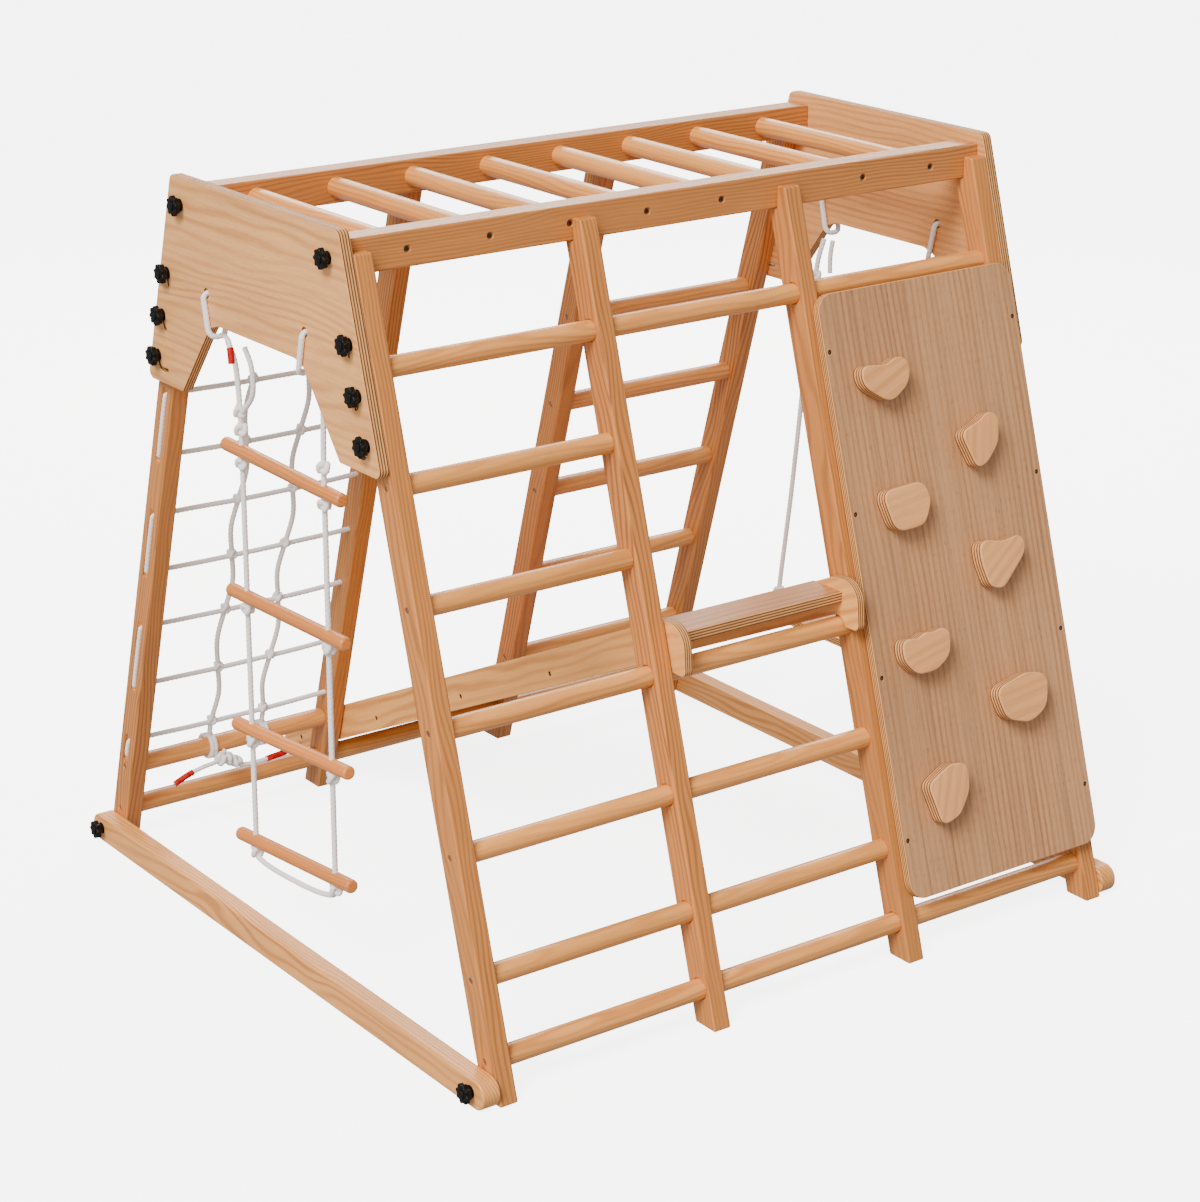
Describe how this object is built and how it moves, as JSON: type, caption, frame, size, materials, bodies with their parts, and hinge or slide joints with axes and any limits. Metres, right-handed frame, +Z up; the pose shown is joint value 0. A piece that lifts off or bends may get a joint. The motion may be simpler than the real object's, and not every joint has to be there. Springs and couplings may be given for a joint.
{
  "type": "climbing frame with monkey bars",
  "caption": "Wooden climbing frame: overhead bars between leaning ladder sides, with a climbing wall, hook-on slide, rope net, rope ladder and plank swing.",
  "frame": {"origin": "on the floor, in the middle of the footprint", "axes": "+X along the overhead rails from the net's end to the wall's end, +Y from the climbing side to the foot of the slide, +Z up"},
  "size_m": [1.2536, 1.32, 1.211],
  "materials": {
    "rail_pine": "clear satin oil",
    "stile_pine": "clear satin oil",
    "dowel_pine": "clear satin oil",
    "panel_ply": "sanded plywood, satin",
    "wall_ply": "sanded plywood, satin",
    "hold_ply": "sanded plywood, satin",
    "slide_ply": "lacquered plywood",
    "seat_ply": "sanded plywood, satin",
    "cotton_rope": "twisted cord"
  },
  "bodies": {
    "frame": {"front_rail": "rail_pine", "rear_rail": "rail_pine", "left_base_rail": "rail_pine", "right_base_rail": "rail_pine", "monkey_bar_1": "dowel_pine", "monkey_bar_2": "dowel_pine", "monkey_bar_3": "dowel_pine", "monkey_bar_4": "dowel_pine", "monkey_bar_5": "dowel_pine", "monkey_bar_6": "dowel_pine", "monkey_bar_7": "dowel_pine", "monkey_bar_8": "dowel_pine", "front_dowel_1": "dowel_pine", "front_dowel_2": "dowel_pine", "front_dowel_3": "dowel_pine", "front_dowel_4": "dowel_pine", "front_dowel_5": "dowel_pine", "front_dowel_6": "dowel_pine", "front_dowel_7": "dowel_pine", "rear_dowel_1": "dowel_pine", "rear_dowel_2": "dowel_pine", "rear_dowel_3": "dowel_pine", "rear_dowel_4": "dowel_pine", "rear_dowel_5": "dowel_pine", "net_dowel": "dowel_pine", "rear_foot_dowel": "dowel_pine", "front_stile_1": "stile_pine", "front_stile_2": "stile_pine", "front_stile_3": "stile_pine", "front_stile_4": "stile_pine", "rear_stile_1": "stile_pine", "rear_stile_2": "stile_pine", "rear_stile_3": "stile_pine", "rear_stile_4": "stile_pine", "left_end_panel": "panel_ply", "right_end_panel": "panel_ply", "climbing_wall": "wall_ply", "hold_bean": "hold_ply", "hold_wedge": "hold_ply", "hold_trapezoid": "hold_ply", "hold_heart": "hold_ply", "hold_cloud": "hold_ply", "hold_dome": "hold_ply", "hold_triangle": "hold_ply", "ladder_loop_rear": "cotton_rope", "ladder_loop_front": "cotton_rope", "swing_loop_rear": "cotton_rope", "swing_loop_front": "cotton_rope", "net": "cotton_rope"},
    "slide": {"slide_side_left": "slide_ply", "slide_side_right": "slide_ply", "slide_bed": "slide_ply", "slide_entry_board": "slide_ply"},
    "rope_ladder": {"ladder_rope": "cotton_rope", "ladder_rung_1": "dowel_pine", "ladder_rung_2": "dowel_pine", "ladder_rung_3": "dowel_pine", "ladder_rung_4": "dowel_pine"},
    "swing": {"swing_rope": "cotton_rope", "swing_seat": "seat_ply"}
  },
  "joints": [
    {"name": "slide_hook", "type": "hinge", "parent": "frame", "child": "slide", "pos_m": [0, -0.48373, 0.5155], "axis": [1, 0, 0], "range_deg": [0, 20]},
    {"name": "ladder_hang", "type": "hinge", "parent": "frame", "child": "rope_ladder", "pos_m": [-0.587, -0.062, 0.9755], "axis": [0, 1, 0], "range_deg": [-25, 40]},
    {"name": "swing_hang", "type": "hinge", "parent": "frame", "child": "swing", "pos_m": [0.587, -0.062, 0.9755], "axis": [0, 1, 0], "range_deg": [-45, 25]}
  ]
}
